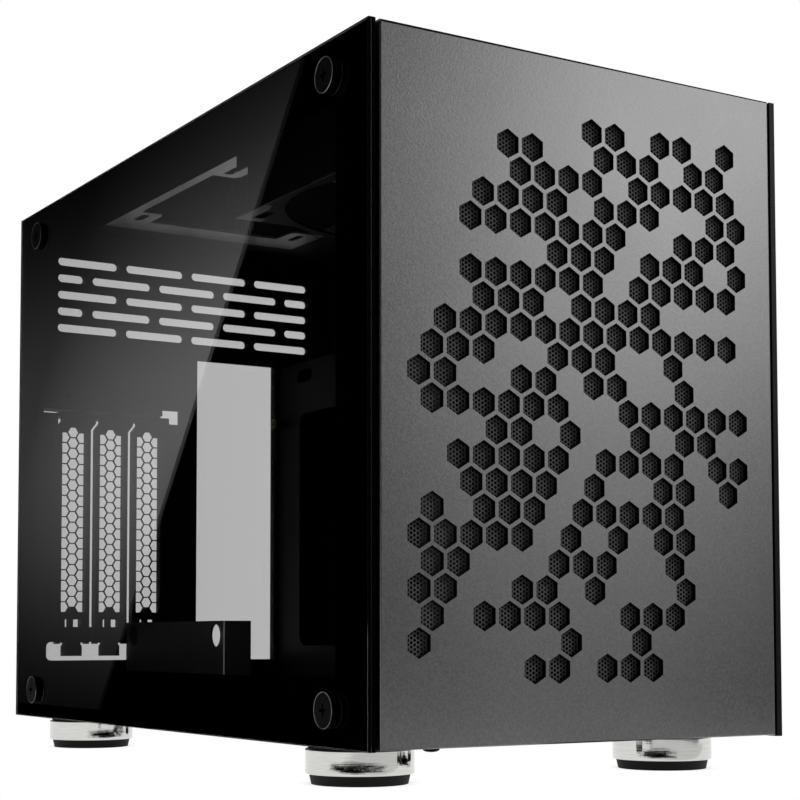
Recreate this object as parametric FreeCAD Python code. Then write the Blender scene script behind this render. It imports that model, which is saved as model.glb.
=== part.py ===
# A mini-ITX computer case: folded body, perforated front, glass side, slots and ports at the rear.
# Lengths are in millimetres. The model is drawn with x across, y back from the front face and
# z up from the foot of the side panels, and every shape is moved to the part frame as it is saved.
import FreeCAD, Part
import math
import os

# Overall size
CASE_WIDTH = 186.9
CASE_DEPTH = 343.9
CASE_HEIGHT = 248.6
FOOT_HEIGHT = 14.0
SHELF_REACH = 12.5

# Side panels and their screws
SIDE_THICK = 3.0
SIDE_BEVEL = 0.5
WASHER_THICK = 1.5
SCREW_FROM_END = 27.7
SCREW_FROM_EDGE = 13.2
SCREW_HEAD_R = 6.4
SCREW_HEAD_THICK = 2.1
SCREW_RECESS = 1.2
SCREW_CHAMFER = 0.4
CROSS_LONG = 4.6
CROSS_WIDE = 1.1
SCREW_R = 2.0
SCREW_PLAY = 0.4
WASHER_R = 6.8
BUSH_R = 4.2
BUSH_LENGTH = 3.4

# Folded body
SHEET = 1.2
ROOF_THICK = 1.8
FLOOR_THICK = 1.5
BODY_INSET = 0.5
BODY_DROP = 0.2
FLANGE = 20.0
REAR_RETURN = 11.0

# Front panel
FRONT_THICK = 2.0
FRONT_RETURN = 10.0
FRONT_ROUND = 0.5
HEX_PITCH = 10.75
HEX_ACROSS = 9.3
HEX_FROM_LEFT = 15.3
HEX_FROM_TOP = 25.9
MESH_THICK = 0.6
MESH_BORDER = 3.0
# One text row per row of holes from the top, "o" for an open hole; odd rows sit half a pitch right
HEX_ROWS = (
    ".......oo.oo.o",
    "...oo..ooo.oo.",
    "....oooo.ooooo",
    "..oooo.ooo..oo",
    "..ooooooo..ooo",
    ".....ooo.ooo.o",
    "..oooooo.ooooo",
    "..ooo.oooo....",
    ".ooooooooooooo",
    "ooo..ooo..o...",
    "oo..oo.oo..o..",
    "oooooo..oooooo",
    "...oo.o..o.oo.",
    ".ooooo.oooo.oo",
    "..oooo.o..oo.o",
    "o.ooo.ooooo...",
    "ooooo.o.o.oo..",
    "oo...ooo..o...",
    "oo..oo.o...o..",
    "o.oooo..ooo...",
    "o.....o..o....",
    "....oo.ooo....",
)

# Front frame, studs and sockets
FRAME_BORDER = 16.0
STUD_R = 2.4
STUD_NECK_R = 1.5
STUD_BASE_R = 4.0
STUD_BASE_THICK = 2.4
STUD_FROM_EDGE = 10.0
SOCKET_R = 5.5
SOCKET_THICK = 4.0
SOCKET_PLAY = 0.05

# Rear vents
VENT_ROWS = 5
VENT_ROW_PITCH = 8.53
VENT_FROM_TOP = 18.2
VENT_COUNT = 4
VENT_FROM_SIDE = 17.2
VENT_GAP = 5.1
VENT_HEIGHT = 4.1

# Board tray, its cut-out and the port opening
TRAY_FROM_SIDE = 33.0
TRAY_LOW = 17.7
TRAY_HIGH = 184.9
TRAY_PAST_HOLES = 6.7
TRAY_FLANGE = 12.0
CUT_LOW = 34.0
CUT_HIGH = 157.5
CUT_FROM_REAR = 24.2
CUT_LENGTH = 118.0
CUT_ROUND = 6.0
CABLE_SLOT_LENGTH = 16.0
CABLE_SLOT_HEIGHT = 7.0
CABLE_SLOT_Z = 177.5
CABLE_SLOT_FROM_REAR = 21.5
CABLE_SLOT_ROUND = 3.4
PORT_WIDTH = 44.45
PORT_HEIGHT = 158.75
PORT_LOW = 26.6
PORT_PAST_BOARD = 2.2
STANDOFF_HEIGHT = 6.35
STANDOFF_R = 2.9
STANDOFF_BORE_R = 1.5
HOLE_REAR_FROM_REAR = 7.7
HOLE_LENGTH_SPACING = 157.48
HOLE_REAR_SPACING = 132.08
HOLE_FRONT_SPACING = 154.94
HOLE_LOW = 21.5
LEG_WIDTH = 20.0

# Slots: centres of the covers, the window behind them and the notch for their tongues
SLOT_COUNT = 3
SLOT_PITCH = 20.32
SLOT_FROM_SIDE = 24.55
WINDOW_LOW = 43.7
WINDOW_HIGH = 150.3
WINDOW_MARGIN = 7.85
NOTCH_LOW = 26.8
NOTCH_HIGH = 36.1
NOTCH_MARGIN = 12.95
NOTCH_ROUND = 2.5
SHELF_RISE = 1.9
HEAD_GAP_HEIGHT = 5.2
HEAD_GAP_LEFT = 15.55
HEAD_GAP_RIGHT = 9.3
HEAD_GAP_END = 8.6

# Slot covers
COVER_WIDTH = 18.8
COVER_THICK = 1.0
COVER_LOW = 35.1
COVER_KINK_LOW = 144.5
COVER_KINK_HIGH = 148.0
COVER_SHIFT = 2.7
COVER_REACH = 11.5
TONGUE_WIDTH = 11.0
TONGUE_LENGTH = 6.1
TONGUE_RELIEF_R = 0.75
PERF_WIDTH = 11.7
PERF_PITCH = 5.394
PERF_ACROSS = 4.85
PERF_ROWS = 17
PERF_LOW = 53.75
PIN_SLOT_LOW = 41.5
PIN_SLOT_HIGH = 47.5
PIN_SLOTS = ((-3.65, -2.55), (0.75, 3.55))

# Slot clamp plate and the screws through it
CLAMP_GAP = 1.3
CLAMP_HEIGHT = 11.5
CLAMP_BOSS_R = 4.0
SLOT_SCREW_OFFSET = 6.6
SLOT_SCREW_R = 1.7
SLOT_SCREW_HEAD_R = 4.3
SLOT_SCREW_HEAD = 4.2
SLOT_SCREW_LENGTH = 9.0
SLOT_SCREW_PLAY = 0.2
SLOT_SCREW_RECESS = 1.4
SLOT_SCREW_CROSS = 2.0
CLAMP_SCREW_HEAD_R = 3.0
CLAMP_SCREW_HEAD = 1.5
CLAMP_SCREW_INSET = 12.0
CLAMP_SCREW_LENGTH = 4.5

# Riser bracket on the floor
RISER_LEFT_OF_SLOT = 0.4
RISER_WIDTH = 13.5
RISER_FROM_REAR = 25.3
RISER_LENGTH = 110.6
RISER_HIGH = 45.8
RISER_HOLE_R = 5.2
RISER_HOLE_DROP = 6.6
RISER_HOLE_INSET = 9.0
RISER_FOOT = 16.0

# Opening in the roof, the bracket plate in it and the mesh above
ROOF_HOLE_FROM_LEFT = 31.7
ROOF_HOLE_FROM_RIGHT = 36.5
ROOF_HOLE_FROM_REAR = 21.9
BRACKET_SIDE = 5.7
BRACKET_END = 17.0
TAB_REACH = 12.3
TAB_LENGTH = 18.0
TAB_ROUND = 4.0
TAB_SLOT_LENGTH = 13.0
TAB_SLOT_WIDTH = 4.0
TAB_SLOT_FROM_SIDE = 10.5
TAB_SLOT_FROM_END = 24.45

# Cage hanging under the front of the roof
CAGE_GAP = 0.5
CAGE_DROP = 27.6
CAGE_FRONT = 50.0
CAGE_REAR = 160.8
CAGE_EAR = 10.7
CAGE_STEP = 7.1
CAGE_FOOT_REAR = 172.4
CAGE_TAB = 12.5
CAGE_FOOT_RISE = 4.0
CAGE_HOLE_EDGE = 2.9
CAGE_HOLE_Y = 116.7
CAGE_RIM = 4.0
CAGE_SLOT_LENGTH = 12.0
CAGE_SLOT_WIDTH = 4.5
CAGE_SLOT_INSET = 8.0
CAGE_SLOT_FROM_FRONT = 6.0
CAGE_SLOT_FROM_REAR = 18.0
CAGE_SCREW_HEAD_R = 3.0
CAGE_SCREW_HEAD = 1.6
CAGE_SCREW_R = 1.5
CAGE_SCREW_PLAY = 0.2
CAGE_SCREW_INSET = 14.0

# Button and port board at the front of the roof
BUTTON_FROM_SIDE = 21.75
BUTTON_FROM_FRONT = 26.0
BUTTON_R = 6.0
BUTTON_PLAY = 0.06
BUTTON_TRAVEL = 1.5
BUTTON_STEM_R = 2.2
BUTTON_SKIRT = 1.2
BUTTON_SKIRT_THICK = 1.0
BUTTON_STEM = 4.0
BUTTON_CHAMFER = 0.3
HOUSING_WALL = 1.6
HOUSING_PLAY = 0.3
HOUSING_ROOM = 0.5
PORT_BOARD_THICK = 1.6
BOARD_WIDTH = 16.0
BOARD_MARGIN = 3.0
PORT_GAP = 19.0
PORT_SPACE = 5.0
PORT_SUNK = 0.3
PORT_BACK = 1.0
USB_WIDTH = 5.6
USB_LENGTH = 13.2
USB_DEPTH = 11.0
USB_WALL = 0.5
TYPEC_WIDTH = 3.3
TYPEC_LENGTH = 9.0
JACK_R = 3.4
JACK_BORE_R = 1.8
PORT_MARGIN = 0.15
TONGUE_SHARE = 0.35

# Feet
FOOT_FROM_SIDE = 23.15
FOOT_FROM_FRONT = 45.2
FOOT_FROM_REAR = 42.5
RING_R = 19.7
RING_ROUND = 0.5
SPACER_R = 18.6
SPACER_GAP = 1.8
SOLE_R = 18.3
SOLE_HEIGHT = 3.7
SOLE_LOW_R = 17.5
SOLE_PLUG = 2.0
RING_SHOULDER = 3.0
FOOT_SCREW_R = 2.0
FOOT_SCREW_HEAD_R = 4.0
FOOT_SCREW_HEAD = 2.4
FOOT_SCREW_PLAY = 0.25
FOOT_SCREW_END = 3.0

# Places worked out from the sizes above
HALF_OUT = CASE_WIDTH / 2
HALF_IN = HALF_OUT - SIDE_THICK
HALF_BODY = HALF_IN - WASHER_THICK
HALF_CAVITY = HALF_BODY - SHEET
ROOF_TOP = CASE_HEIGHT - BODY_DROP
ROOF_UNDER = ROOF_TOP - ROOF_THICK
FLOOR_UNDER = BODY_INSET
FLOOR_TOP = FLOOR_UNDER + FLOOR_THICK
REAR_OUT = CASE_DEPTH
REAR_IN = REAR_OUT - SHEET
FRAME_BACK = FRONT_RETURN + SHEET
TRAY_X = HALF_CAVITY - TRAY_FROM_SIDE
SLOT_XS = [SLOT_FROM_SIDE - HALF_CAVITY + i * SLOT_PITCH for i in range(SLOT_COUNT)]
RISER_X = SLOT_XS[1] - RISER_LEFT_OF_SLOT
SHELF_TOP = WINDOW_HIGH + SHELF_RISE
HEAD_TOP = SHELF_TOP + COVER_THICK
CLAMP_LOW = HEAD_TOP + CLAMP_GAP
SHELF_BACK = REAR_OUT + SHELF_REACH
SHELF_LEFT = SLOT_XS[0] - HEAD_GAP_LEFT
SHELF_RIGHT = SLOT_XS[-1] + HEAD_GAP_RIGHT
ROOF_HOLE_X0 = ROOF_HOLE_FROM_LEFT - HALF_CAVITY
ROOF_HOLE_X1 = HALF_CAVITY - ROOF_HOLE_FROM_RIGHT
ROOF_HOLE_Y0 = CAGE_REAR + CAGE_EAR
ROOF_HOLE_Y1 = CASE_DEPTH - ROOF_HOLE_FROM_REAR
CAGE_X0 = ROOF_HOLE_X0
CAGE_X1 = HALF_CAVITY - CAGE_TAB - CAGE_GAP
CAGE_HOLE_R = (CAGE_X1 - CAGE_X0) / 2 - CAGE_HOLE_EDGE
BUTTON_X = HALF_CAVITY - BUTTON_FROM_SIDE
FOOT_X = HALF_OUT - FOOT_FROM_SIDE
OFFSET = FreeCAD.Vector(0, -(CASE_DEPTH + SHELF_REACH) / 2, FOOT_HEIGHT)
AXIS_X = FreeCAD.Vector(1, 0, 0)
AXIS_Y = FreeCAD.Vector(0, 1, 0)
AXIS_Z = FreeCAD.Vector(0, 0, 1)


def box(x0, x1, y0, y1, z0, z1):
    return Part.makeBox(x1 - x0, y1 - y0, z1 - z0, FreeCAD.Vector(x0, y0, z0))


def rod(radius, start, length, axis=AXIS_Z):
    return Part.makeCylinder(radius, length, FreeCAD.Vector(*start), axis)


def prism(points, push):
    loop = [FreeCAD.Vector(*p) for p in points]
    face = Part.Face(Part.makePolygon(loop + loop[:1]))
    return face.extrude(FreeCAD.Vector(*push))


def rounded(shape, radius, direction):
    edges = [e for e in shape.Edges if runs_along(e, direction)]
    return shape.makeFillet(radius, edges)


def runs_along(edge, direction):
    if len(edge.Vertexes) != 2:
        return False
    line = edge.Vertexes[1].Point - edge.Vertexes[0].Point
    return abs(line.normalize().dot(direction)) > 0.999


def slot_y(x0, x1, z, height, y0, y1):
    # Slot with round ends along x, cut through in y
    r = height / 2
    parts = [box(x0 + r, x1 - r, y0, y1, z - r, z + r)]
    for x in (x0 + r, x1 - r):
        parts.append(rod(r, (x, y0, z), y1 - y0, AXIS_Y))
    return parts[0].fuse(parts[1:])


def slot_z(x, y0, y1, width, z0, z1):
    # Slot with round ends along y, cut through in z
    r = width / 2
    parts = [box(x - r, x + r, y0 + r, y1 - r, z0, z1)]
    for y in (y0 + r, y1 - r):
        parts.append(rod(r, (x, y, z0), z1 - z0))
    return parts[0].fuse(parts[1:])


def hexagon(x, z, across, y0, y1, flat_top):
    reach = across / math.sqrt(3)
    turn = 0 if flat_top else 30
    corners = []
    for k in range(6):
        a = math.radians(turn + 60 * k)
        corners.append((x + reach * math.cos(a), y0, z + reach * math.sin(a)))
    return prism(corners, (0, y1 - y0, 0))


def side_screw_places():
    ys = (SCREW_FROM_END, CASE_DEPTH - SCREW_FROM_END)
    zs = (SCREW_FROM_EDGE, CASE_HEIGHT - SCREW_FROM_EDGE)
    return [(y, z) for y in ys for z in zs]


def mirror(shape):
    return shape.mirror(FreeCAD.Vector(0, 0, 0), AXIS_X)


# Side panels and the hardware that holds them

def side_panel():
    panel = box(-HALF_OUT, -HALF_IN, SIDE_BEVEL, CASE_DEPTH, 0, CASE_HEIGHT)
    outer = [e for e in panel.Edges if abs(e.CenterOfMass.x + HALF_OUT) < 0.001]
    panel = panel.makeChamfer(SIDE_BEVEL, outer)
    holes = [
        rod(SCREW_R + SCREW_PLAY, (-HALF_OUT, y, z), SIDE_THICK, AXIS_X)
        for y, z in side_screw_places()
    ]
    return panel.cut(holes)


def side_screws():
    shank = SIDE_THICK + WASHER_THICK + SHEET + BUSH_LENGTH
    screws = []
    for y, z in side_screw_places():
        head = rod(SCREW_HEAD_R, (-HALF_OUT - SCREW_HEAD_THICK, y, z), SCREW_HEAD_THICK, AXIS_X)
        head = head.makeChamfer(SCREW_CHAMFER, [e for e in head.Edges if e.CenterOfMass.x < -HALF_OUT - SCREW_CHAMFER])
        body = head.fuse(rod(SCREW_R, (-HALF_OUT, y, z), shank, AXIS_X))
        bars = []
        for long, wide in ((CROSS_LONG, CROSS_WIDE), (CROSS_WIDE, CROSS_LONG)):
            front = -HALF_OUT - SCREW_HEAD_THICK
            bars.append(box(front, front + SCREW_RECESS, y - long / 2, y + long / 2, z - wide / 2, z + wide / 2))
        screws.append(body.cut(bars))
    return Part.makeCompound(screws)


def side_washers():
    rings = []
    for y, z in side_screw_places():
        ring = rod(WASHER_R, (-HALF_IN, y, z), WASHER_THICK, AXIS_X)
        rings.append(ring.cut(rod(SCREW_R + SCREW_PLAY, (-HALF_IN, y, z), WASHER_THICK, AXIS_X)))
    return Part.makeCompound(rings)


def side_bushes():
    bushes = []
    for y, z in side_screw_places():
        bush = rod(BUSH_R, (-HALF_CAVITY, y, z), BUSH_LENGTH, AXIS_X)
        bushes.append(bush.cut(rod(SCREW_R, (-HALF_CAVITY, y, z), BUSH_LENGTH, AXIS_X)))
    return Part.makeCompound(bushes)


# Folded body

def screw_holes_in_body():
    return [
        rod(SCREW_R + SCREW_PLAY, (-HALF_BODY, y, z), 2 * HALF_BODY, AXIS_X)
        for y, z in side_screw_places()
    ]


def roof_hole_box(z0, z1):
    return box(ROOF_HOLE_X0, ROOF_HOLE_X1, ROOF_HOLE_Y0, ROOF_HOLE_Y1, z0, z1)


def top_channel():
    body = box(-HALF_BODY, HALF_BODY, FRONT_RETURN, REAR_IN, ROOF_UNDER - FLANGE, ROOF_TOP)
    cavity = box(-HALF_CAVITY, HALF_CAVITY, FRONT_RETURN, REAR_IN, ROOF_UNDER - FLANGE, ROOF_UNDER)
    cuts = [cavity, roof_hole_box(ROOF_UNDER, ROOF_TOP), button_hole()] + port_holes()
    cuts += screw_holes_in_body()
    for x, y in cage_screw_places():
        cuts.append(rod(CAGE_SCREW_R + CAGE_SCREW_PLAY, (x, y, ROOF_UNDER), ROOF_THICK))
    return body.cut(cuts)


def bottom_channel():
    body = box(-HALF_BODY, HALF_BODY, FRONT_RETURN, REAR_IN, FLOOR_UNDER, FLOOR_TOP + FLANGE)
    cavity = box(-HALF_CAVITY, HALF_CAVITY, FRONT_RETURN, REAR_IN, FLOOR_TOP, FLOOR_TOP + FLANGE)
    cuts = [cavity] + screw_holes_in_body()
    for x, y in foot_places():
        cuts.append(rod(FOOT_SCREW_R, (x, y, FLOOR_UNDER), FLOOR_THICK))
    return body.cut(cuts)


def rear_panel():
    wall = box(-HALF_BODY, HALF_BODY, REAR_IN, REAR_OUT, FLOOR_UNDER, ROOF_TOP)
    fold_low = FLOOR_TOP + FLANGE
    fold_high = ROOF_UNDER - FLANGE
    left = box(-HALF_BODY, -HALF_CAVITY, REAR_IN - REAR_RETURN, REAR_IN, fold_low, fold_high)
    shelf = box(SHELF_LEFT, SHELF_RIGHT, REAR_OUT, SHELF_BACK, SHELF_TOP - SHEET, SHELF_TOP)
    wall = wall.fuse([left, mirror(left), shelf])
    cuts = vent_slots() + [port_opening(), slot_window(), slot_notch()] + head_gap()
    for x in SLOT_XS:
        cuts.append(rod(SLOT_SCREW_R, (x + SLOT_SCREW_OFFSET, slot_screw_y(), SHELF_TOP - SHEET), SHEET))
    for x, z in clamp_screw_places():
        cuts.append(rod(CAGE_SCREW_R, (x, REAR_IN, z), SHEET, AXIS_Y))
    return wall.cut(cuts)


def vent_slots():
    cuts = []
    left = VENT_FROM_SIDE - HALF_BODY
    whole = -2 * left
    long = (whole - (VENT_COUNT - 1) * VENT_GAP) / VENT_COUNT
    step = long + VENT_GAP
    short = (whole - (VENT_COUNT - 1) * step - VENT_GAP) / 2
    for row in range(VENT_ROWS):
        z = ROOF_TOP - VENT_FROM_TOP - row * VENT_ROW_PITCH
        if row % 2 == 0:
            spans = [(left + i * step, long) for i in range(VENT_COUNT)]
        else:
            inner = left + short + VENT_GAP
            spans = [(left, short)]
            spans += [(inner + i * step, long) for i in range(VENT_COUNT - 1)]
            spans.append((inner + (VENT_COUNT - 1) * step, short))
        for x, length in spans:
            cuts.append(slot_y(x, x + length, z, VENT_HEIGHT, REAR_IN, REAR_OUT))
    return cuts


def port_opening():
    x1 = TRAY_X - STANDOFF_HEIGHT + PORT_PAST_BOARD
    return box(x1 - PORT_WIDTH, x1, REAR_IN, REAR_OUT, PORT_LOW, PORT_LOW + PORT_HEIGHT)


def slot_window():
    x0 = SLOT_XS[0] - WINDOW_MARGIN
    x1 = SLOT_XS[-1] + WINDOW_MARGIN
    return box(x0, x1, REAR_IN, REAR_OUT, WINDOW_LOW, WINDOW_HIGH)


def slot_notch():
    x0 = SLOT_XS[0] - NOTCH_MARGIN
    x1 = SLOT_XS[-1] + NOTCH_MARGIN
    return rounded(box(x0, x1, REAR_IN, REAR_OUT, NOTCH_LOW, NOTCH_HIGH), NOTCH_ROUND, AXIS_Y)


def head_gap():
    high = SHELF_TOP + HEAD_GAP_HEIGHT
    row = box(SHELF_LEFT, SHELF_RIGHT, REAR_IN, REAR_OUT, SHELF_TOP, high)
    end = box(SHELF_RIGHT, SHELF_RIGHT + HEAD_GAP_END, REAR_IN, REAR_OUT, WINDOW_HIGH, high)
    return [row, end]


def slot_screw_y():
    return REAR_OUT + SHELF_REACH / 2


def slot_cover(x):
    half = COVER_WIDTH / 2
    tongue = TONGUE_WIDTH / 2
    y0 = REAR_IN - COVER_THICK
    outline = [
        (x - tongue, y0, COVER_LOW - TONGUE_LENGTH),
        (x + tongue, y0, COVER_LOW - TONGUE_LENGTH),
        (x + tongue, y0, COVER_LOW),
        (x + half, y0, COVER_LOW),
        (x + half, y0, COVER_KINK_LOW),
        (x + half + COVER_SHIFT, y0, COVER_KINK_HIGH),
        (x + half + COVER_SHIFT, y0, HEAD_TOP),
        (x - half + COVER_SHIFT, y0, HEAD_TOP),
        (x - half + COVER_SHIFT, y0, COVER_KINK_HIGH),
        (x - half, y0, COVER_KINK_LOW),
        (x - half, y0, COVER_LOW),
        (x - tongue, y0, COVER_LOW),
    ]
    plate = prism(outline, (0, COVER_THICK, 0))
    left = x - half + COVER_SHIFT
    head = box(left, left + COVER_WIDTH, y0, REAR_OUT + COVER_REACH, SHELF_TOP, HEAD_TOP)
    cuts = [rod(SLOT_SCREW_R + SLOT_SCREW_PLAY, (x + SLOT_SCREW_OFFSET, slot_screw_y(), SHELF_TOP), COVER_THICK)]
    for side in (-1, 1):
        cuts.append(rod(TONGUE_RELIEF_R, (x + side * tongue, y0, COVER_LOW), COVER_THICK, AXIS_Y))
    for a, b in PIN_SLOTS:
        cuts.append(box(x + a, x + b, y0, REAR_IN, PIN_SLOT_LOW, PIN_SLOT_HIGH))
    return plate.fuse(head).cut(cuts + cover_holes(x, y0))


def cover_holes(x, y0):
    # Columns a full pitch apart by height; the outer two are cut off by the field's straight edges
    column = PERF_PITCH * math.sqrt(3) / 2
    field = box(x - PERF_WIDTH / 2, x + PERF_WIDTH / 2, y0, REAR_IN, COVER_LOW, COVER_KINK_LOW + PERF_PITCH)
    cuts = []
    for row in range(PERF_ROWS):
        z = PERF_LOW + row * PERF_PITCH
        cuts.append(hexagon(x, z + PERF_PITCH / 2, PERF_ACROSS, y0, REAR_IN, True))
        for side in (-1, 1):
            cuts.append(hexagon(x + side * column, z, PERF_ACROSS, y0, REAR_IN, True).common(field))
    return cuts


def slot_clamp():
    leg = box(SHELF_LEFT, SHELF_RIGHT, REAR_OUT, SHELF_BACK, CLAMP_LOW, CLAMP_LOW + SHEET)
    back = box(SHELF_LEFT, SHELF_RIGHT, REAR_OUT, REAR_OUT + SHEET, CLAMP_LOW, CLAMP_LOW + CLAMP_HEIGHT)
    bosses = []
    holes = []
    for x in SLOT_XS:
        place = (x + SLOT_SCREW_OFFSET, slot_screw_y(), HEAD_TOP)
        bosses.append(rod(CLAMP_BOSS_R, place, CLAMP_GAP))
        holes.append(rod(SLOT_SCREW_R + SLOT_SCREW_PLAY, place, CLAMP_GAP + SHEET))
    for x, z in clamp_screw_places():
        holes.append(rod(CAGE_SCREW_R + CAGE_SCREW_PLAY, (x, REAR_OUT, z), SHEET, AXIS_Y))
    return leg.fuse([back] + bosses).cut(holes)


def clamp_screw_places():
    z = CLAMP_LOW + SHEET + (CLAMP_HEIGHT - SHEET) / 2
    return [(SHELF_LEFT + CLAMP_SCREW_INSET, z), (SHELF_RIGHT - CLAMP_SCREW_INSET, z)]


def cross_recess(x, y, z, depth, size):
    arm = size / 4
    return [
        box(x - size, x + size, y - arm, y + arm, z - depth, z),
        box(x - arm, x + arm, y - size, y + size, z - depth, z),
    ]


def slot_screw(x):
    y = slot_screw_y()
    top = CLAMP_LOW + SHEET
    head = rod(SLOT_SCREW_HEAD_R, (x, y, top), SLOT_SCREW_HEAD)
    head = head.makeChamfer(SCREW_CHAMFER, head.Edges[0:1])
    shank = rod(SLOT_SCREW_R, (x, y, top - SLOT_SCREW_LENGTH), SLOT_SCREW_LENGTH)
    return head.fuse(shank).cut(cross_recess(x, y, top + SLOT_SCREW_HEAD, SLOT_SCREW_RECESS, SLOT_SCREW_CROSS))


def slot_screws():
    return Part.makeCompound([slot_screw(x + SLOT_SCREW_OFFSET) for x in SLOT_XS])


def clamp_screws():
    screws = []
    for x, z in clamp_screw_places():
        y = REAR_OUT + SHEET
        head = rod(CLAMP_SCREW_HEAD_R, (x, y, z), CLAMP_SCREW_HEAD, AXIS_Y)
        shank = rod(CAGE_SCREW_R, (x, y - CLAMP_SCREW_LENGTH, z), CLAMP_SCREW_LENGTH, AXIS_Y)
        screws.append(head.fuse(shank))
    return Part.makeCompound(screws)


# Front panel, the mesh behind it and what holds it

def front_panel():
    body = box(-HALF_BODY, HALF_BODY, 0, FRONT_RETURN, FLOOR_UNDER, ROOF_TOP)
    edges = [e for e in body.Edges if abs(e.CenterOfMass.y) < 0.001]
    body = body.makeFillet(FRONT_ROUND, edges)
    t = FRONT_THICK
    inside = box(-HALF_BODY + t, HALF_BODY - t, t, FRONT_RETURN, FLOOR_UNDER + t, ROOF_TOP - t)
    return body.cut(inside).cut(hex_holes())


def hex_holes():
    row_pitch = HEX_PITCH * math.sqrt(3) / 2
    cuts = []
    for row, cells in enumerate(HEX_ROWS):
        x0 = -HALF_BODY + HEX_FROM_LEFT + (row % 2) * HEX_PITCH / 2
        z = ROOF_TOP - HEX_FROM_TOP - row * row_pitch
        for col, mark in enumerate(cells):
            if mark == "o":
                cuts.append(hexagon(x0 + col * HEX_PITCH, z, HEX_ACROSS, 0, FRONT_THICK, False))
    return cuts


def front_mesh():
    edge = FRONT_THICK + MESH_BORDER
    return box(
        -HALF_BODY + edge, HALF_BODY - edge, FRONT_THICK, FRONT_THICK + MESH_THICK,
        FLOOR_UNDER + edge, ROOF_TOP - edge)


def stud_places():
    reach = FRAME_BORDER / 2
    xs = (-HALF_CAVITY + reach, HALF_CAVITY - reach)
    zs = (FLOOR_TOP + STUD_FROM_EDGE + reach, ROOF_UNDER - STUD_FROM_EDGE - reach)
    return [(x, z) for x in xs for z in zs]


def front_frame():
    plate = box(-HALF_CAVITY, HALF_CAVITY, FRONT_RETURN, FRAME_BACK, FLOOR_TOP, ROOF_UNDER)
    b = FRAME_BORDER
    window = box(
        -HALF_CAVITY + b, HALF_CAVITY - b, FRONT_RETURN, FRAME_BACK, FLOOR_TOP + b, ROOF_UNDER - b)
    cuts = [rounded(window, b / 2, AXIS_Y)]
    for x, z in stud_places():
        cuts.append(rod(SOCKET_R, (x, FRONT_RETURN, z), SHEET, AXIS_Y))
    return plate.cut(cuts)


def front_studs():
    studs = []
    back = FRONT_THICK + MESH_THICK
    for x, z in stud_places():
        base = rod(STUD_BASE_R, (x, back, z), STUD_BASE_THICK, AXIS_Y)
        neck_end = FRONT_RETURN + SOCKET_THICK / 2
        neck = rod(STUD_NECK_R, (x, back, z), neck_end - back, AXIS_Y)
        ball = Part.makeSphere(STUD_R, FreeCAD.Vector(x, neck_end, z))
        studs.append(base.fuse([neck, ball]))
    return Part.makeCompound(studs)


def stud_sockets():
    sockets = []
    for x, z in stud_places():
        body = rod(SOCKET_R, (x, FRONT_RETURN, z), SOCKET_THICK, AXIS_Y)
        ball = Part.makeSphere(STUD_R + SOCKET_PLAY, FreeCAD.Vector(x, FRONT_RETURN + SOCKET_THICK / 2, z))
        mouth = rod(STUD_NECK_R + SOCKET_PLAY, (x, FRONT_RETURN, z), SOCKET_THICK, AXIS_Y)
        sockets.append(body.cut([ball, mouth]))
    return Part.makeCompound(sockets)


# Inside: board tray, standoffs, riser bracket

def motherboard_tray():
    y0 = REAR_OUT - HOLE_REAR_FROM_REAR - HOLE_LENGTH_SPACING - TRAY_PAST_HOLES
    x1 = TRAY_X + SHEET
    plate = box(TRAY_X, x1, y0, REAR_IN, TRAY_LOW, TRAY_HIGH)
    rear = box(x1, x1 + TRAY_FLANGE, REAR_IN - SHEET, REAR_IN, TRAY_LOW, TRAY_HIGH)
    legs = []
    for y in (y0, REAR_IN - LEG_WIDTH):
        legs.append(box(TRAY_X, x1, y, y + LEG_WIDTH, FLOOR_TOP, TRAY_LOW))
        legs.append(box(x1, x1 + TRAY_FLANGE, y, y + LEG_WIDTH, FLOOR_TOP, FLOOR_TOP + SHEET))
    y2 = REAR_OUT - CUT_FROM_REAR - SHEET
    cut = rounded(box(TRAY_X, x1, y2 - CUT_LENGTH, y2, CUT_LOW, CUT_HIGH), CUT_ROUND, AXIS_X)
    z = CABLE_SLOT_Z - CABLE_SLOT_HEIGHT / 2
    y3 = REAR_IN - CABLE_SLOT_FROM_REAR
    slot = box(TRAY_X, x1, y3 - CABLE_SLOT_LENGTH, y3, z, z + CABLE_SLOT_HEIGHT)
    slot = rounded(slot, CABLE_SLOT_ROUND, AXIS_X)
    return plate.fuse([rear] + legs).cut([cut, slot])


def board_hole_places():
    rear = REAR_OUT - HOLE_REAR_FROM_REAR
    front = rear - HOLE_LENGTH_SPACING
    return [
        (rear, HOLE_LOW), (rear, HOLE_LOW + HOLE_REAR_SPACING),
        (front, HOLE_LOW), (front, HOLE_LOW + HOLE_FRONT_SPACING),
    ]


def board_standoffs():
    posts = []
    for y, z in board_hole_places():
        corners = []
        for k in range(6):
            a = math.radians(60 * k)
            corners.append((TRAY_X - STANDOFF_HEIGHT, y + STANDOFF_R * math.cos(a), z + STANDOFF_R * math.sin(a)))
        post = prism(corners, (STANDOFF_HEIGHT, 0, 0))
        posts.append(post.cut(rod(STANDOFF_BORE_R, (TRAY_X - STANDOFF_HEIGHT, y, z), STANDOFF_HEIGHT, AXIS_X)))
    return Part.makeCompound(posts)


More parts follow.
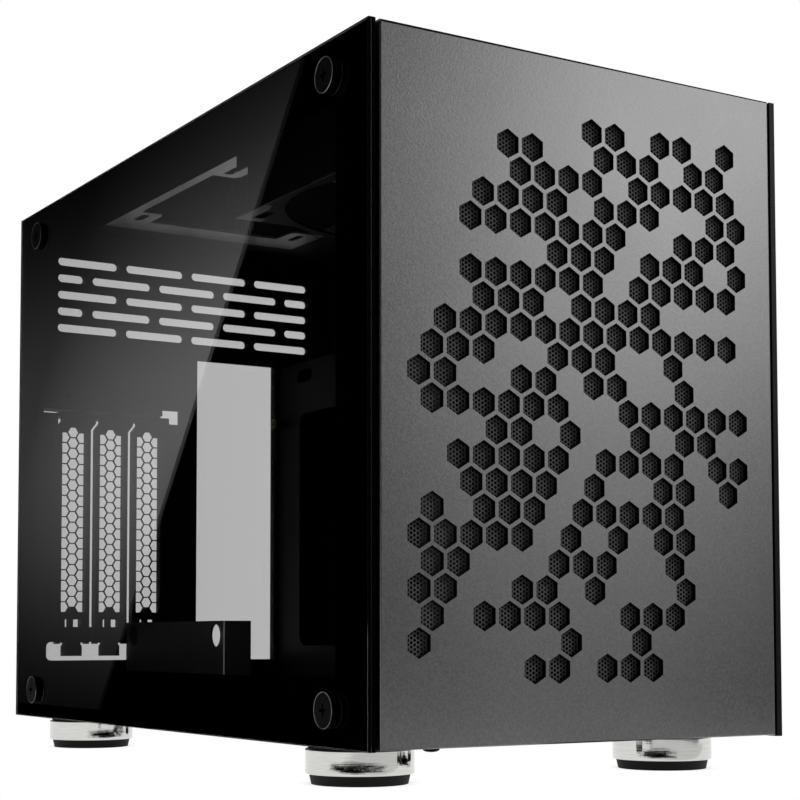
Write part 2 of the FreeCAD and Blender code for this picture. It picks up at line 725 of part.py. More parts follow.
def riser_bracket():
    y1 = REAR_OUT - RISER_FROM_REAR
    y0 = y1 - RISER_LENGTH
    x1 = RISER_X + RISER_WIDTH
    side = box(RISER_X, RISER_X + SHEET, y0, y1, FLOOR_TOP, RISER_HIGH)
    front = box(RISER_X, x1, y0, y0 + SHEET, FLOOR_TOP, RISER_HIGH)
    rear = box(RISER_X, x1, y1 - SHEET, y1, FLOOR_TOP, RISER_HIGH)
    foot = box(RISER_X, RISER_X + RISER_FOOT, y0, y1, FLOOR_TOP, FLOOR_TOP + SHEET)
    holes = []
    for y in (y0 + RISER_HOLE_INSET, y1 - RISER_HOLE_INSET):
        holes.append(rod(RISER_HOLE_R, (RISER_X, y, RISER_HIGH - RISER_HOLE_DROP), SHEET, AXIS_X))
    return side.fuse([front, rear, foot]).cut(holes)


# Roof opening, hanging cage

def tab_slot_places():
    xs = (ROOF_HOLE_X0 + TAB_SLOT_FROM_SIDE, ROOF_HOLE_X1 - TAB_SLOT_FROM_SIDE)
    ys = (ROOF_HOLE_Y0 + TAB_SLOT_FROM_END, ROOF_HOLE_Y1 - TAB_SLOT_FROM_END)
    return [(x, y) for x in xs for y in ys]


def roof_bracket():
    z1 = ROOF_UNDER + SHEET
    ring = roof_hole_box(ROOF_UNDER, z1)
    x0, x1, y0, y1 = ROOF_HOLE_X0, ROOF_HOLE_X1, ROOF_HOLE_Y0, ROOF_HOLE_Y1
    window = box(x0 + BRACKET_SIDE, x1 - BRACKET_SIDE, y0 + BRACKET_END, y1 - BRACKET_END, ROOF_UNDER, z1)
    ring = ring.cut(window)
    tabs = []
    for left in (True, False):
        for front in (True, False):
            a = x0 + BRACKET_SIDE if left else x1 - BRACKET_SIDE - TAB_REACH
            b = y0 + BRACKET_END if front else y1 - BRACKET_END - TAB_LENGTH
            tab = box(a, a + TAB_REACH, b, b + TAB_LENGTH, ROOF_UNDER, z1)
            tabs.append(rounded(tab, TAB_ROUND, AXIS_Z))
            c = a - TAB_ROUND if left else a + TAB_ROUND
            d = b - TAB_ROUND if front else b + TAB_ROUND
            tabs.append(box(c, c + TAB_REACH, b, b + TAB_LENGTH, ROOF_UNDER, z1).common(roof_hole_box(ROOF_UNDER, z1)))
            tabs.append(box(a, a + TAB_REACH, d, d + TAB_LENGTH, ROOF_UNDER, z1).common(roof_hole_box(ROOF_UNDER, z1)))
    slots = []
    for x, y in tab_slot_places():
        half = TAB_SLOT_LENGTH / 2
        slots.append(slot_z(x, y - half, y + half, TAB_SLOT_WIDTH, ROOF_UNDER, z1))
    return ring.fuse(tabs).cut(slots).removeSplitter()


def roof_mesh():
    return roof_hole_box(ROOF_UNDER + SHEET, ROOF_TOP)


def cage_screw_places():
    xs = (CAGE_X0 - CAGE_TAB / 2, CAGE_X1 + CAGE_TAB / 2)
    ys = (CAGE_FRONT + CAGE_SCREW_INSET, CAGE_REAR - CAGE_SCREW_INSET)
    return [(x, y) for x in xs for y in ys]


def hanging_cage():
    x0, x1 = CAGE_X0, CAGE_X1
    low = ROOF_UNDER - CAGE_DROP
    ear = CAGE_REAR + CAGE_EAR
    walls = []
    for x in (x0, x1 - SHEET):
        outline = [
            (x, CAGE_FRONT, low), (x, CAGE_FOOT_REAR, low), (x, CAGE_REAR, low + CAGE_FOOT_RISE),
            (x, CAGE_REAR, ROOF_UNDER - CAGE_STEP), (x, ear, ROOF_UNDER - CAGE_STEP),
            (x, ear, ROOF_UNDER), (x, CAGE_FRONT, ROOF_UNDER),
        ]
        walls.append(prism(outline, (SHEET, 0, 0)))
    tabs = [
        box(x0 - CAGE_TAB, x0, CAGE_FRONT, CAGE_REAR, ROOF_UNDER - SHEET, ROOF_UNDER),
        box(x1, x1 + CAGE_TAB, CAGE_FRONT, CAGE_REAR, ROOF_UNDER - SHEET, ROOF_UNDER),
    ]
    foot = box(x0, x1, CAGE_FRONT, CAGE_FOOT_REAR, low, low + SHEET)
    mid = (x0 + x1) / 2
    rim = rod(CAGE_HOLE_R + CAGE_RIM, (mid, CAGE_HOLE_Y, low), SHEET)
    hole = rod(CAGE_HOLE_R, (mid, CAGE_HOLE_Y, low), SHEET)
    cuts = [hole]
    for x in (x0 + CAGE_SLOT_INSET, x1 - CAGE_SLOT_INSET):
        for y in (CAGE_FRONT + CAGE_SLOT_FROM_FRONT, CAGE_FOOT_REAR - CAGE_SLOT_FROM_REAR):
            cuts.append(slot_z(x, y, y + CAGE_SLOT_LENGTH, CAGE_SLOT_WIDTH, low, low + SHEET))
    for x, y in cage_screw_places():
        cuts.append(rod(CAGE_SCREW_R + CAGE_SCREW_PLAY, (x, y, ROOF_UNDER - SHEET), SHEET))
    return walls[0].fuse([walls[1], foot, rim] + tabs).cut(cuts)


def cage_screws():
    screws = []
    for x, y in cage_screw_places():
        z = ROOF_UNDER - SHEET
        head = rod(CAGE_SCREW_HEAD_R, (x, y, z - CAGE_SCREW_HEAD), CAGE_SCREW_HEAD)
        shank = rod(CAGE_SCREW_R, (x, y, z), SHEET + ROOF_THICK)
        screws.append(head.fuse(shank))
    return Part.makeCompound(screws)


# Button and ports in the roof, near the front

def button_hole():
    return rod(BUTTON_R + BUTTON_PLAY, (BUTTON_X, BUTTON_FROM_FRONT, ROOF_UNDER), ROOF_THICK)


def power_button():
    x, y = BUTTON_X, BUTTON_FROM_FRONT
    cap = rod(BUTTON_R, (x, y, ROOF_UNDER), ROOF_THICK)
    cap = cap.makeChamfer(BUTTON_CHAMFER, [e for e in cap.Edges if e.CenterOfMass.z > ROOF_TOP - BUTTON_CHAMFER])
    skirt_z = ROOF_UNDER - BUTTON_SKIRT_THICK
    skirt = rod(BUTTON_R + BUTTON_SKIRT, (x, y, skirt_z), BUTTON_SKIRT_THICK)
    stem = rod(BUTTON_STEM_R, (x, y, skirt_z - BUTTON_STEM), BUTTON_STEM)
    return cap.fuse([skirt, stem])


def button_housing():
    x, y = BUTTON_X, BUTTON_FROM_FRONT
    inner = BUTTON_R + BUTTON_SKIRT + HOUSING_PLAY
    drop = BUTTON_SKIRT_THICK + BUTTON_STEM + BUTTON_TRAVEL + HOUSING_ROOM
    outer = rod(inner + HOUSING_WALL, (x, y, ROOF_UNDER - drop - HOUSING_WALL), drop + HOUSING_WALL)
    return outer.cut(rod(inner, (x, y, ROOF_UNDER - drop), drop))


def port_places():
    first = BUTTON_X - PORT_GAP
    pitch = USB_LENGTH + PORT_SPACE
    third = first - 2 * pitch
    return [first, first - pitch, third, third - PORT_GAP]


def port_bodies():
    x_a, x_b, x_c, x_jack = port_places()
    outers = [(x_a, USB_LENGTH, USB_WIDTH), (x_b, USB_LENGTH, USB_WIDTH), (x_c, TYPEC_LENGTH, TYPEC_WIDTH)]
    return outers, x_jack


def port_holes():
    outers, x_jack = port_bodies()
    cuts = []
    for x, long, wide in outers:
        w = long / 2 + PORT_MARGIN
        h = wide / 2 + PORT_MARGIN
        y = BUTTON_FROM_FRONT
        cuts.append(box(x - w, x + w, y - h, y + h, ROOF_UNDER, ROOF_TOP))
    cuts.append(rod(JACK_R + PORT_MARGIN, (x_jack, BUTTON_FROM_FRONT, ROOF_UNDER), ROOF_THICK))
    return cuts


def front_ports():
    outers, x_jack = port_bodies()
    y = BUTTON_FROM_FRONT
    top = ROOF_TOP - PORT_SUNK
    low = ROOF_UNDER - USB_DEPTH
    shapes = []
    for x, long, wide in outers:
        shell = box(x - long / 2, x + long / 2, y - wide / 2, y + wide / 2, low, top)
        w = long / 2 - USB_WALL
        h = wide / 2 - USB_WALL
        hollow = box(x - w, x + w, y - h, y + h, low + PORT_BACK, top)
        tongue = TONGUE_SHARE * wide / 2
        side = -h if wide == USB_WIDTH else -tongue
        blade = box(x - w + PORT_BACK, x + w - PORT_BACK, y + side, y + side + 2 * tongue, low, top - PORT_BACK)
        shapes.append(shell.cut(hollow).fuse(blade))
    jack = rod(JACK_R, (x_jack, y, low), top - low)
    shapes.append(jack.cut(rod(JACK_BORE_R, (x_jack, y, low + PORT_BACK), top - low)))
    return Part.makeCompound(shapes)


def port_board():
    xs = port_places()
    x0 = xs[-1] - JACK_R - BOARD_MARGIN
    x1 = xs[0] + USB_LENGTH / 2 + BOARD_MARGIN
    y0 = BUTTON_FROM_FRONT - BOARD_WIDTH / 2
    y1 = y0 + BOARD_WIDTH
    low = ROOF_UNDER - USB_DEPTH
    board = box(x0, x1, y0, y1, low - PORT_BOARD_THICK, low)
    posts = []
    for x in (x0, x1 - BOARD_MARGIN):
        posts.append(box(x, x + BOARD_MARGIN, y1 - BOARD_MARGIN, y1, low, ROOF_UNDER))
    return board.fuse(posts)


# Feet

def foot_places():
    ys = (FOOT_FROM_FRONT, CASE_DEPTH - FOOT_FROM_REAR)
    return [(x, y) for x in (-FOOT_X, FOOT_X) for y in ys]


def foot_spacers():
    shapes = []
    for x, y in foot_places():
        disc = rod(SPACER_R, (x, y, FLOOR_UNDER - SPACER_GAP), SPACER_GAP)
        shapes.append(disc.cut(rod(FOOT_SCREW_R + FOOT_SCREW_PLAY, (x, y, FLOOR_UNDER - SPACER_GAP), SPACER_GAP)))
    return Part.makeCompound(shapes)


def ring_top():
    return FLOOR_UNDER - SPACER_GAP


def ring_low():
    return SOLE_HEIGHT - FOOT_HEIGHT


def foot_ring(x, y):
    low = ring_low()
    high = ring_top()
    ring = rod(RING_R, (x, y, low), high - low)
    ring = ring.makeFillet(RING_ROUND, [e for e in ring.Edges if len(e.Vertexes) == 1])
    well = rod(FOOT_SCREW_HEAD_R + FOOT_SCREW_PLAY, (x, y, low), high - low - RING_SHOULDER)
    bore = rod(FOOT_SCREW_R + FOOT_SCREW_PLAY, (x, y, low), high - low)
    return ring.cut([well, bore])


def foot_sole(x, y):
    low = -FOOT_HEIGHT
    sole = Part.makeCone(SOLE_LOW_R, SOLE_R, SOLE_HEIGHT, FreeCAD.Vector(x, y, low))
    plug = rod(FOOT_SCREW_HEAD_R, (x, y, low + SOLE_HEIGHT), SOLE_PLUG)
    return sole.fuse(plug)


def foot_screws():
    screws = []
    for x, y in foot_places():
        z = ring_top() - RING_SHOULDER
        head = rod(FOOT_SCREW_HEAD_R, (x, y, z - FOOT_SCREW_HEAD), FOOT_SCREW_HEAD)
        shank = rod(FOOT_SCREW_R, (x, y, z), RING_SHOULDER + SPACER_GAP + FLOOR_THICK + FOOT_SCREW_END)
        screws.append(head.fuse(shank))
    return Part.makeCompound(screws)


def all_nodes():
    nodes = {
        "glass_panel": side_panel(),
        "right_panel": mirror(side_panel()),
        "glass_screws": side_screws(),
        "right_screws": mirror(side_screws()),
        "glass_washers": side_washers(),
        "right_washers": mirror(side_washers()),
        "glass_bushes": side_bushes(),
        "right_bushes": mirror(side_bushes()),
        "top_channel": top_channel(),
        "bottom_channel": bottom_channel(),
        "rear_panel": rear_panel(),
        "front_panel": front_panel(),
        "front_mesh": front_mesh(),
        "front_frame": front_frame(),
        "front_studs": front_studs(),
        "stud_sockets": stud_sockets(),
        "slot_clamp": slot_clamp(),
        "slot_screws": slot_screws(),
        "clamp_screws": clamp_screws(),
        "motherboard_tray": motherboard_tray(),
        "board_standoffs": board_standoffs(),
        "riser_bracket": riser_bracket(),
        "roof_bracket": roof_bracket(),
        "roof_mesh": roof_mesh(),
        "hanging_cage": hanging_cage(),
        "cage_screws": cage_screws(),
        "power_button": power_button(),
        "button_housing": button_housing(),
        "front_ports": front_ports(),
        "port_board": port_board(),
        "foot_spacers": foot_spacers(),
        "foot_screws": foot_screws(),
    }
    for i, x in enumerate(SLOT_XS):
        nodes[f"slot_cover_{i + 1}"] = slot_cover(x)
    for name, (x, y) in zip(("fl", "rl", "fr", "rr"), foot_places()):
        nodes[f"foot_ring_{name}"] = foot_ring(x, y)
        nodes[f"foot_sole_{name}"] = foot_sole(x, y)
    return nodes


os.makedirs("parts", exist_ok=True)
for node, shape in all_nodes().items():
    moved = shape.copy()
    moved.translate(OFFSET)
    if not moved.isValid():
        print("not valid:", node)
    moved.exportStep(f"parts/{node}.step")
    print(node, len(moved.Solids), round(moved.Volume, 1))
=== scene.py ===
import math

import bpy
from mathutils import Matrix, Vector
from mathutils.bvhtree import BVHTree


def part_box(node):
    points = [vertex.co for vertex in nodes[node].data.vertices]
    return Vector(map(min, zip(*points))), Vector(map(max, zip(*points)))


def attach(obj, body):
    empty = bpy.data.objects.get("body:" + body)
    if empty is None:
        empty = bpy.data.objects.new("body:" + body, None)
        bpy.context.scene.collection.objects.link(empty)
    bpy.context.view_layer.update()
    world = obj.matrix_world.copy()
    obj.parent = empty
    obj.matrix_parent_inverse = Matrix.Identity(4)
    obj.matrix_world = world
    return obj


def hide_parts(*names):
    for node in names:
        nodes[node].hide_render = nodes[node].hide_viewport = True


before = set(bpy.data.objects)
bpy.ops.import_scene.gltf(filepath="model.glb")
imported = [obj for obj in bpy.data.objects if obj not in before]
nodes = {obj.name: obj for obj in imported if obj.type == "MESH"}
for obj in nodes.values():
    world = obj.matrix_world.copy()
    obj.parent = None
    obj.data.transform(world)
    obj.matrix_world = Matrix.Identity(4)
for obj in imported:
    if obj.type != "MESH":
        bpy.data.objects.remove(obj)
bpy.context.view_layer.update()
print("stage 1: frame loaded,", len(nodes), "nodes")


# Colours and node helpers

def hexColour(text):
    # sRGB hex to linear RGBA
    parts = [int(text[i:i + 2], 16) / 255 for i in (1, 3, 5)]
    linear = [c / 12.92 if c <= 0.04045 else ((c + 0.055) / 1.055) ** 2.4 for c in parts]
    return (*linear, 1.0)


white, black = hexColour("#ffffff"), hexColour("#000000")


def addNode(tree, kind, inputs=None, **settings):
    # one node with its settings; an input that is a socket is linked, anything else is set
    node = tree.nodes.new(kind)
    for key, value in settings.items():
        setattr(node, key, value)
    for key, value in (inputs or {}).items():
        if isinstance(value, bpy.types.NodeSocket):
            tree.links.new(value, node.inputs[key])
        else:
            node.inputs[key].default_value = value
    return node


def metres(mm):
    return mm * 0.001


def perMetre(mm):
    # noise scale for grains of this size, in object coordinates
    return 1000 / mm


def mathNode(tree, operation, *values):
    inputs = dict(enumerate(values))
    return addNode(tree, "ShaderNodeMath", inputs, operation=operation).outputs[0]


def vectorNode(tree, operation, *values):
    inputs = dict(enumerate(values))
    return addNode(tree, "ShaderNodeVectorMath", inputs, operation=operation).outputs


def rangeNode(tree, value, span, low=0.0, high=1.0):
    # the value, stretched from its span to another one and held within it
    return addNode(tree, "ShaderNodeMapRange", {
        "Value": value, "From Min": span[0], "From Max": span[1],
        "To Min": low, "To Max": high}).outputs["Result"]


def noiseNode(tree, place, scale, detail):
    return addNode(tree, "ShaderNodeTexNoise", {
        "Vector": place, "Scale": scale, "Detail": detail}).outputs["Fac"]


def colourBetween(tree, share, look):
    colours = {"Factor": share, 6: hexColour(look["dark"]), 7: hexColour(look["light"])}
    return addNode(tree, "ShaderNodeMix", colours, data_type="RGBA").outputs[2]


def grainBump(tree, height, strength, grainMm):
    tallShare = 0.4  # a grain's height against its width
    return addNode(tree, "ShaderNodeBump", {
        "Height": height, "Strength": strength,
        "Distance": metres(grainMm) * tallShare}).outputs["Normal"]


def newMaterial(name):
    material = bpy.data.materials.new(name)
    material.use_nodes = True
    tree = material.node_tree
    tree.nodes.clear()
    return material, tree


def finishMaterial(tree, shader):
    addNode(tree, "ShaderNodeOutputMaterial", {"Surface": shader.outputs[0]})


def grainedSurface(name, look):
    # colour from a slow cloud and a fine grain, roughness and bump from the grain
    span, wideSpan = (0.3, 0.7), (0.25, 0.75)  # where most of the noise's values lie
    material, tree = newMaterial(name)
    place = addNode(tree, "ShaderNodeTexCoord").outputs["Object"]
    cloud = noiseNode(tree, place, perMetre(look["cloudMm"]), detail=3.0)
    grain = noiseNode(tree, place, perMetre(look["grainMm"]), detail=2.0)
    share = look.get("grainShare", 0.4)
    blend = mathNode(tree, "ADD", rangeNode(tree, cloud, span, high=1 - share),
                     rangeNode(tree, grain, span, high=share))
    rough, spread = look["roughness"], look["roughSpread"]
    shader = addNode(tree, "ShaderNodeBsdfPrincipled", {
        "Base Color": colourBetween(tree, blend, look), "Metallic": look["metallic"],
        "Roughness": rangeNode(tree, grain, wideSpan, rough - spread, rough + spread),
        "Normal": grainBump(tree, grain, look["bump"], look["grainMm"])})
    for socket in ("IOR", "Specular IOR Level", "Emission Strength"):
        if socket in look:
            shader.inputs[socket].default_value = look[socket]
    finishMaterial(tree, shader)
    return material


# Anodised aluminium, bead blasted: soft wide highlight, even speckle. The real grit is near 0.2 mm
# and is drawn at 0.7 mm so that it shows
blastedAluminium = grainedSurface("anodisedAluminiumBeadBlasted", {
    "dark": "#747475", "light": "#888889", "metallic": 1.0, "roughness": 0.32, "roughSpread": 0.04,
    "grainMm": 0.7, "cloudMm": 45, "bump": 0.14, "grainShare": 0.8})

# Mill aluminium, brushed lightly and bare: brighter and smoother than the front
bareAluminium = grainedSurface("aluminiumBareSheet", {
    "dark": "#b4b4b4", "light": "#cacaca", "metallic": 1.0, "roughness": 0.38, "roughSpread": 0.06,
    "grainMm": 0.8, "cloudMm": 30, "bump": 0.08})

# Steel sheet, powder coated black: a fine orange peel and a soft sheen
powderCoat = grainedSurface("steelPowderCoated", {
    "dark": "#131314", "light": "#1b1b1c", "metallic": 0.0, "roughness": 0.55, "roughSpread": 0.06,
    "grainMm": 0.7, "cloudMm": 60, "bump": 0.12, "Specular IOR Level": 0.3})

# Side sheet, satin black lacquer on steel: smoother than the powder coat inside
satinLacquer = grainedSurface("steelSatinLacquer", {
    "dark": "#09090a", "light": "#0e0e0f", "metallic": 0.0, "roughness": 0.4, "roughSpread": 0.04,
    "grainMm": 0.5, "cloudMm": 80, "bump": 0.05, "Specular IOR Level": 0.15})

# Etched steel mesh, blackened: thin dull lines
blackenedMesh = grainedSurface("steelMeshBlackened", {
    "dark": "#3a3a3b", "light": "#4c4c4d", "metallic": 0.0, "roughness": 0.6, "roughSpread": 0.05,
    "grainMm": 0.4, "cloudMm": 20, "bump": 0.05, "Specular IOR Level": 0.0})

# Steel sheet of the brackets: greyer and a little smoother than the body's coat; on the fan cage's corner
# it is a painted highlight
greyCoat = grainedSurface("steelGreyCoat", {
    "dark": "#5a5a5c", "light": "#6c6c6e", "metallic": 0.0, "roughness": 0.46, "roughSpread": 0.05,
    "grainMm": 0.6, "cloudMm": 40, "bump": 0.08, "Specular IOR Level": 0.4})

# Steel of the fan cage under the roof: plain dark coat, a little lighter than what lies behind it
cageCoat = grainedSurface("steelCageCoat", {
    "dark": "#242425", "light": "#303031", "metallic": 0.0, "roughness": 0.6, "roughSpread": 0.05,
    "grainMm": 0.7, "cloudMm": 50, "bump": 0.08, "Specular IOR Level": 0.1})

# Painted highlight along a bend: a pale dull line that glows a little, as no lamp reaches it in the case
paintedHighlight = grainedSurface("steelPaintedHighlight", {
    "dark": "#b4b4b5", "light": "#c8c8c9", "metallic": 0.0, "roughness": 0.6, "roughSpread": 0.05,
    "grainMm": 0.3, "cloudMm": 8, "bump": 0.04, "Specular IOR Level": 0.2, "Emission Strength": 0.12})

# Painted shade on the walls of the holes cut through the front plate, and on the dark line over its top
# edge: dull and near black
paintedShade = grainedSurface("anodisedAluminiumPaintedShade", {
    "dark": "#060606", "light": "#0c0c0c", "metallic": 0.0, "roughness": 0.6, "roughSpread": 0.05,
    "grainMm": 0.4, "cloudMm": 20, "bump": 0.04, "Specular IOR Level": 0.1})

# Steel of the roof's mesh: deep black with little sheen
deepBlack = grainedSurface("steelDeepBlack", {
    "dark": "#0e0e0e", "light": "#151516", "metallic": 0.0, "roughness": 0.72, "roughSpread": 0.05,
    "grainMm": 0.7, "cloudMm": 50, "bump": 0.08, "Specular IOR Level": 0.04})

# Bright steel round the thumbscrews' rims, partly a painted highlight: a bright thin line
rimHighlight = grainedSurface("steelRimHighlight", {
    "dark": "#8a8a8b", "light": "#a6a6a7", "metallic": 1.0, "roughness": 0.3, "roughSpread": 0.06,
    "grainMm": 0.3, "cloudMm": 8, "bump": 0.04})

# Machine screws, black zinc: dark turned heads with next to no shine
blackZinc = grainedSurface("steelBlackZinc", {
    "dark": "#020202", "light": "#060606", "metallic": 0.0, "roughness": 0.42, "roughSpread": 0.08,
    "grainMm": 0.6, "cloudMm": 6, "bump": 0.2, "Specular IOR Level": 0.02})

# Clear zinc on steel: pale, slightly uneven
clearZinc = grainedSurface("steelClearZinc", {
    "dark": "#9a9b9d", "light": "#b8b9ba", "metallic": 1.0, "roughness": 0.3, "roughSpread": 0.08,
    "grainMm": 0.35, "cloudMm": 5, "bump": 0.05})

# Nickel on stamped steel, as on connector shells
plainNickel = grainedSurface("steelNickelPlated", {
    "dark": "#a8a8a6", "light": "#c2c2c0", "metallic": 1.0, "roughness": 0.24, "roughSpread": 0.05,
    "grainMm": 0.4, "cloudMm": 7, "bump": 0.03})

# Turned brass, tarnished: brown and dull
turnedBrass = grainedSurface("brassTurned", {
    "dark": "#5a4826", "light": "#70592e", "metallic": 1.0, "roughness": 0.45, "roughSpread": 0.06,
    "grainMm": 0.3, "cloudMm": 5, "bump": 0.04})


def turnedChromeMaterial():
    # Chrome on turned steel: bright, with the lathe's fine lines running round it. The real lines are
    # near 0.05 mm apart and are drawn at 0.5 mm so that they show
    look = {"dark": "#c2c2bf", "light": "#dededb", "roughness": 0.03, "roughSpread": 0.04,
            "lineMm": 0.5, "roundMm": 9, "bump": 0.03, "span": (0.3, 0.7)}
    material, tree = newMaterial("steelChromeTurned")
    place = addNode(tree, "ShaderNodeTexCoord").outputs["Object"]
    around, across = perMetre(look["roundMm"]), perMetre(look["lineMm"])
    drawn = vectorNode(tree, "MULTIPLY", place, (around, around, across))[0]
    lines = noiseNode(tree, drawn, 1.0, detail=3.0)
    rough, spread = look["roughness"], look["roughSpread"]
    shader = addNode(tree, "ShaderNodeBsdfPrincipled", {
        "Base Color": colourBetween(tree, lines, look), "Metallic": 1.0,
        "Roughness": rangeNode(tree, lines, look["span"], rough, rough + spread),
        "Normal": grainBump(tree, lines, look["bump"], look["lineMm"])})
    finishMaterial(tree, shader)
    return material


turnedChrome = turnedChromeMaterial()

# Moulded rubber, matt with a dusty bloom
mouldedRubber = grainedSurface("rubberMoulded", {
    "dark": "#0a0a0a", "light": "#121212", "metallic": 0.0, "roughness": 0.66, "roughSpread": 0.06,
    "grainMm": 0.4, "cloudMm": 9, "bump": 0.15, "Specular IOR Level": 0.2})

# ABS, spark-eroded mould finish
mouldedAbs = grainedSurface("absMoulded", {
    "dark": "#151515", "light": "#1d1d1d", "metallic": 0.0, "roughness": 0.5, "roughSpread": 0.05,
    "grainMm": 0.35, "cloudMm": 10, "bump": 0.1, "IOR": 1.46})

# Glass-fibre circuit board under black solder mask
circuitBoard = grainedSurface("glassFibreBoard", {
    "dark": "#101412", "light": "#18201c", "metallic": 0.0, "roughness": 0.36, "roughSpread": 0.05,
    "grainMm": 0.5, "cloudMm": 8, "bump": 0.06})

# Flat black: ceramic ink fired on the back of the glass, and painted shade on the glass's edges
inkAndEdgeShade = grainedSurface("ceramicInkAndEdgeShade", {
    "dark": "#020202", "light": "#040404", "metallic": 0.0, "roughness": 0.7, "roughSpread": 0.05,
    "grainMm": 0.3, "cloudMm": 20, "bump": 0.02, "Specular IOR Level": 0.0})


def tintedGlassMaterial():
    # Soda-lime glass with a grey tint: each face lets about three quarters through, and slow smears
    # dull its shine a little
    look = {"tint": "#c4c4c5", "ior": 1.52, "smearMm": 90, "span": (0.4, 0.9), "smeared": 0.012}
    material, tree = newMaterial("sodaLimeGlassTinted")
    place = addNode(tree, "ShaderNodeTexCoord").outputs["Object"]
    smear = noiseNode(tree, place, perMetre(look["smearMm"]), detail=2.0)
    shader = addNode(tree, "ShaderNodeBsdfPrincipled", {
        "Base Color": hexColour(look["tint"]), "IOR": look["ior"], "Transmission Weight": 1.0,
        "Roughness": rangeNode(tree, smear, look["span"], high=look["smeared"])})
    finishMaterial(tree, shader)
    return material


tintedGlass = tintedGlassMaterial()
print("stage 2: materials made")

finishOf = {
    "glass_panel": tintedGlass, "right_panel": satinLacquer, "front_panel": blastedAluminium,
    "power_button": blastedAluminium, "roof_bracket": bareAluminium, "board_standoffs": turnedBrass,
    "glass_screws": blackZinc, "right_screws": blackZinc, "slot_screws": blackZinc,
    "clamp_screws": blackZinc, "cage_screws": blackZinc, "glass_bushes": clearZinc,
    "right_bushes": clearZinc, "foot_screws": clearZinc, "front_studs": clearZinc,
    "front_ports": plainNickel, "stud_sockets": mouldedAbs, "button_housing": mouldedAbs,
    "port_board": circuitBoard, "glass_washers": mouldedRubber, "right_washers": mouldedRubber,
    "foot_spacers": mouldedRubber, "front_mesh": blackenedMesh, "roof_mesh": blackenedMesh,
    "riser_bracket": greyCoat, "hanging_cage": cageCoat,
}
for name, piece in nodes.items():
    if name.startswith("foot_ring"):
        finish = turnedChrome
    elif name.startswith("foot_sole"):
        finish = mouldedRubber
    else:
        finish = finishOf.get(name, powderCoat)
    piece.data.materials.clear()
    piece.data.materials.append(finish)


def darkenHoles():
    # the walls of the plate's hexagonal holes take the painted shade
    look = {"plateMm": 2.0, "slackMm": 0.05, "edgeMm": 6.0, "lean": 0.3}
    plate = nodes["front_panel"].data
    plate.materials.append(paintedShade)
    low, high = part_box("front_panel")
    edge, deep = metres(look["edgeMm"]), low.y + metres(look["plateMm"] + look["slackMm"])
    for face in plate.polygons:
        x, y, z = face.center
        inside = low.x + edge < x < high.x - edge and low.z + edge < z < high.z - edge
        if inside and y < deep and abs(face.normal.y) < look["lean"]:
            face.material_index = 1


darkenHoles()
print("stage 3: finishes on the frame's nodes")


# Mesh sheets, the glass's print, small screws, and edge strips of painted highlight and painted shade

def linkObject(name, data):
    thing = bpy.data.objects.new(name, data)
    bpy.context.scene.collection.objects.link(thing)
    return thing


def meshObject(name, points, faces, material):
    mesh = bpy.data.meshes.new(name)
    mesh.from_pydata(points, [], faces)
    mesh.validate()
    mesh.update()
    mesh.materials.append(material)
    return linkObject(name, mesh)


def meshPiece(name, points, faces, material):
    piece = meshObject(name, points, faces, material)
    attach(piece, "case")
    return piece


def perforatedSheet(name, size, level, look, toPoint, material, isOpen):
    # hexagonal cells side by side; a cell that can be seen has a hole, the others are plain. u and v
    # run along the sheet, and toPoint turns them and the depth into the case's frame
    (u0, v0), (u1, v1) = size
    pitch, thick = metres(look["pitchMm"]), metres(look["thickMm"])
    holeR = metres(look["holeMm"]) / 2
    cellR = pitch / math.sqrt(3)
    rowStep = pitch * math.sqrt(3) / 2
    rows = int((v1 - v0 - 2 * cellR) / rowStep)
    cols = int((u1 - u0 - 1.5 * pitch) / pitch)
    startU = (u0 + u1) / 2 - (cols - 0.5) * pitch / 2
    startV = (v0 + v1) / 2 - (rows - 1) * rowStep / 2
    turns = [math.radians(30 + 60 * k) for k in range(6)]
    points, faces, seen = [], [], {}

    def corner(u, v):
        # shared by the cells that meet there, to the micrometre
        key = (round(u * 1e6), round(v * 1e6))
        if key not in seen:
            seen[key] = len(points)
            points.append(toPoint(u, v, level))
        return seen[key]

    for row in range(rows):
        for col in range(cols):
            u = startU + (col + 0.5 * (row % 2)) * pitch
            v = startV + row * rowStep
            rim = [corner(u + cellR * math.cos(a), v + cellR * math.sin(a)) for a in turns]
            if not isOpen(u, v):
                faces.append(tuple(rim))
                continue
            first = len(points)
            for depth in (level, level + thick):
                points += [toPoint(u + holeR * math.cos(a), v + holeR * math.sin(a), depth) for a in turns]
            for k in range(6):
                n = (k + 1) % 6
                faces.append((rim[k], rim[n], first + n, first + k))
                faces.append((first + k, first + n, first + 6 + n, first + 6 + k))
    inU0, inU1 = startU - pitch / 2, startU + cols * pitch
    inV0, inV1 = startV - cellR, startV + (rows - 1) * rowStep + cellR
    base = len(points)
    for a, b, c, d in ((u0, v0, u1, v1), (inU0, inV0, inU1, inV1)):
        points += [toPoint(u, v, level) for u, v in ((a, b), (c, b), (c, d), (a, d))]
    for k in range(4):
        n = (k + 1) % 4
        faces.append((base + k, base + n, base + 4 + n, base + 4 + k))
    return meshPiece(name, points, faces, material)


